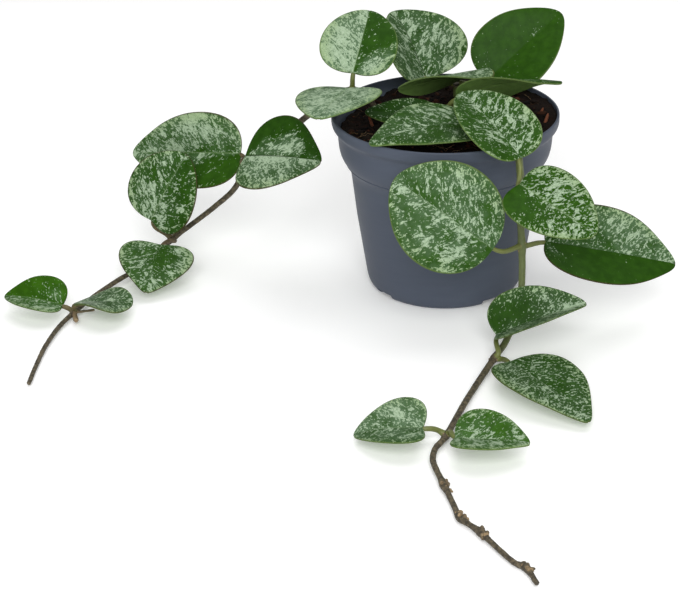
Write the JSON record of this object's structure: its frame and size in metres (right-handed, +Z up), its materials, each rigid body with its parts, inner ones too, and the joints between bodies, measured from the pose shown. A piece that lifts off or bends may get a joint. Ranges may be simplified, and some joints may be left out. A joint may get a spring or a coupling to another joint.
{
  "type": "potted hoya plant",
  "caption": "Trailing hoya with silver-splashed heart-shaped leaves, in a tapered blue-grey nursery pot, its vines lying out over the surface on both sides.",
  "frame": {"origin": "centre of the pot's flat underside, on the surface that it stands on", "axes": "+Z up along the pot's axis; -Y is the front, towards which the right-hand vine runs; +X to the right as seen from the front"},
  "size_m": [0.3535, 0.3575, 0.144],
  "materials": {
    "pot": "satin",
    "soil": "rough",
    "stems": "satin",
    "leaves": "waxy"
  },
  "bodies": {
    "root": {"nursery_pot": "pot", "potting_soil": "soil", "left_vine_stem": "stems", "right_vine_stem": "stems", "back_shoot_stem": "stems", "middle_shoot_stem": "stems", "front_shoot_stem": "stems", "left_vine_leaf_1": "leaves", "left_vine_leaf_2": "leaves", "left_vine_leaf_3": "leaves", "left_vine_leaf_4": "leaves", "left_vine_leaf_5": "leaves", "left_vine_leaf_6": "leaves", "left_vine_leaf_7": "leaves", "left_vine_leaf_8": "leaves", "right_vine_leaf_1": "leaves", "right_vine_leaf_2": "leaves", "right_vine_leaf_3": "leaves", "right_vine_leaf_4": "leaves", "right_vine_leaf_5": "leaves", "right_vine_leaf_6": "leaves", "right_vine_leaf_7": "leaves", "right_vine_leaf_8": "leaves", "back_shoot_leaf_1": "leaves", "back_shoot_leaf_2": "leaves", "middle_shoot_leaf_1": "leaves", "middle_shoot_leaf_2": "leaves", "front_shoot_leaf_1": "leaves", "front_shoot_leaf_2": "leaves"}
  },
  "joints": []
}
